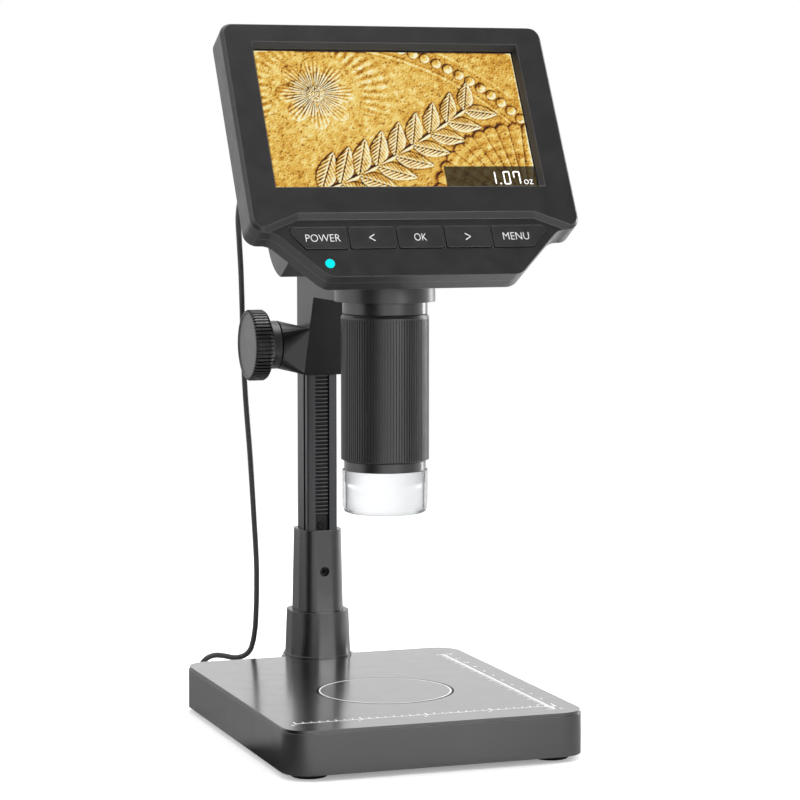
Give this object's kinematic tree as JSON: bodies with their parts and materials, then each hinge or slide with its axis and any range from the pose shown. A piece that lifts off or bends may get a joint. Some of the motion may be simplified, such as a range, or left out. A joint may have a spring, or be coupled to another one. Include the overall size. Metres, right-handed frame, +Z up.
{
  "type": "digital microscope",
  "caption": "Stand microscope with a tilting display head over a ribbed barrel, a rack-and-pinion post with a side knob, and a weighing-scale base with printed rulers.",
  "frame": {"origin": "centre of the footprint of the base and its rear lug, on the table under the rubber feet", "axes": "+Z up, +X to the user's right, +Y away from the user; the display faces -Y and up"},
  "size_m": [0.128, 0.1718, 0.2727],
  "materials": {
    "base_grey": "satin",
    "top_black": "gloss",
    "cover_black": "matte",
    "rubber": "matte",
    "steel": "satin",
    "bar_aluminium": "satin",
    "board_green": "satin",
    "socket_steel": "satin",
    "stand_black": "satin",
    "post_black": "anodised",
    "rack_black": "satin",
    "pad_white": "matte",
    "brass": "satin",
    "barrel_grey": "satin",
    "led_white": "matte",
    "hood_white": "frosted",
    "knob_grey": "satin",
    "lens_black": "matte",
    "lens_glass": "polished",
    "head_grey": "satin",
    "window_glass": "polished",
    "picture_gold": "gloss",
    "battery_blue": "satin",
    "led_cyan": "lit",
    "cord_black": "satin"
  },
  "bodies": {
    "base": {"base_housing": "base_grey", "base_top_plate": "top_black", "base_bottom_cover": "cover_black", "rubber_feet": "rubber", "base_screws": "steel", "load_cell": "bar_aluminium", "load_cell_screws": "steel", "scale_board": "board_green", "base_socket": "socket_steel", "pedestal_collar": "stand_black", "pedestal_screws": "steel", "pedestal_sleeve": "stand_black", "post_set_screw": "steel", "post": "post_black", "rack": "rack_black", "rack_screw": "steel", "post_end_cap": "cover_black", "base_plug": "cord_black", "cord_lower": "cord_black"},
    "pan": {"weighing_pan": "top_black"},
    "carriage": {"carriage_bracket": "barrel_grey", "slide_pad": "pad_white", "shaft_bushes": "brass", "barrel_set_screw": "steel", "barrel_body": "barrel_grey", "barrel_end_ring": "barrel_grey", "led_board": "led_white", "sensor_board": "board_green", "light_hood": "hood_white", "cord_upper": "cord_black"},
    "knob": {"focus_knob": "knob_grey", "pinion_shaft": "steel", "shaft_clip": "steel"},
    "ring": {"focus_ring": "barrel_grey"},
    "lens": {"lens_cell": "lens_black", "objective_lens": "lens_glass"},
    "head": {"front_bezel": "head_grey", "rear_housing": "head_grey", "screen_window": "window_glass", "lcd_panel": "picture_gold", "main_board": "board_green", "battery": "battery_blue", "status_led": "led_cyan", "button_board": "board_green", "head_screws": "steel", "tilt_pin": "steel", "head_socket": "socket_steel", "head_plug": "cord_black"},
    "power": {"power_button": "head_grey"},
    "left": {"left_button": "head_grey"},
    "ok": {"ok_button": "head_grey"},
    "right": {"right_button": "head_grey"},
    "menu": {"menu_button": "head_grey"}
  },
  "joints": [
    {"name": "carriage_slide", "type": "slide", "parent": "base", "child": "carriage", "axis": [0, 0, 1], "range_m": [-0.06, 0.02], "deforming": ["cord_lower"]},
    {"name": "knob_turn", "type": "hinge", "parent": "carriage", "child": "knob", "pos_m": [0, 0.05795, 0.1475], "axis": [1, 0, 0], "range_deg": [-355, 1060]},
    {"name": "focus_ring_turn", "type": "hinge", "parent": "carriage", "child": "ring", "pos_m": [0, -0.0185, 0.137], "axis": [0, 0, 1], "range_deg": [-135, 135]},
    {"name": "lens_slide", "type": "slide", "parent": "carriage", "child": "lens", "axis": [0, 0, 1], "range_m": [-0.0026, 0.0026]},
    {"name": "head_tilt", "type": "hinge", "parent": "carriage", "child": "head", "pos_m": [0, -0.0209, 0.201], "axis": [-1, 0, 0], "range_deg": [-15, 35], "deforming": ["cord_upper"]},
    {"name": "pan_sink", "type": "slide", "parent": "base", "child": "pan", "axis": [0, 0, 1], "range_m": [-0.0004, 0], "stiffness_N_per_m": 3000, "springref_m": 0.00015},
    {"name": "power_press", "type": "slide", "parent": "head", "child": "power", "axis": [0, 0.8704, -0.4924], "range_m": [0, 0.0005], "stiffness_N_per_m": 800, "springref_m": -0.0004},
    {"name": "left_press", "type": "slide", "parent": "head", "child": "left", "axis": [0, 0.8704, -0.4924], "range_m": [0, 0.0005], "stiffness_N_per_m": 800, "springref_m": -0.0004},
    {"name": "ok_press", "type": "slide", "parent": "head", "child": "ok", "axis": [0, 0.8704, -0.4924], "range_m": [0, 0.0005], "stiffness_N_per_m": 800, "springref_m": -0.0004},
    {"name": "right_press", "type": "slide", "parent": "head", "child": "right", "axis": [0, 0.8704, -0.4924], "range_m": [0, 0.0005], "stiffness_N_per_m": 800, "springref_m": -0.0004},
    {"name": "menu_press", "type": "slide", "parent": "head", "child": "menu", "axis": [0, 0.8704, -0.4924], "range_m": [0, 0.0005], "stiffness_N_per_m": 800, "springref_m": -0.0004}
  ],
  "couplings": [
    {"joint": "knob_turn", "follows": "carriage_slide", "rad_per_m": -307.69},
    {"joint": "lens_slide", "follows": "focus_ring_turn", "m_per_rad": 0.00106}
  ]
}
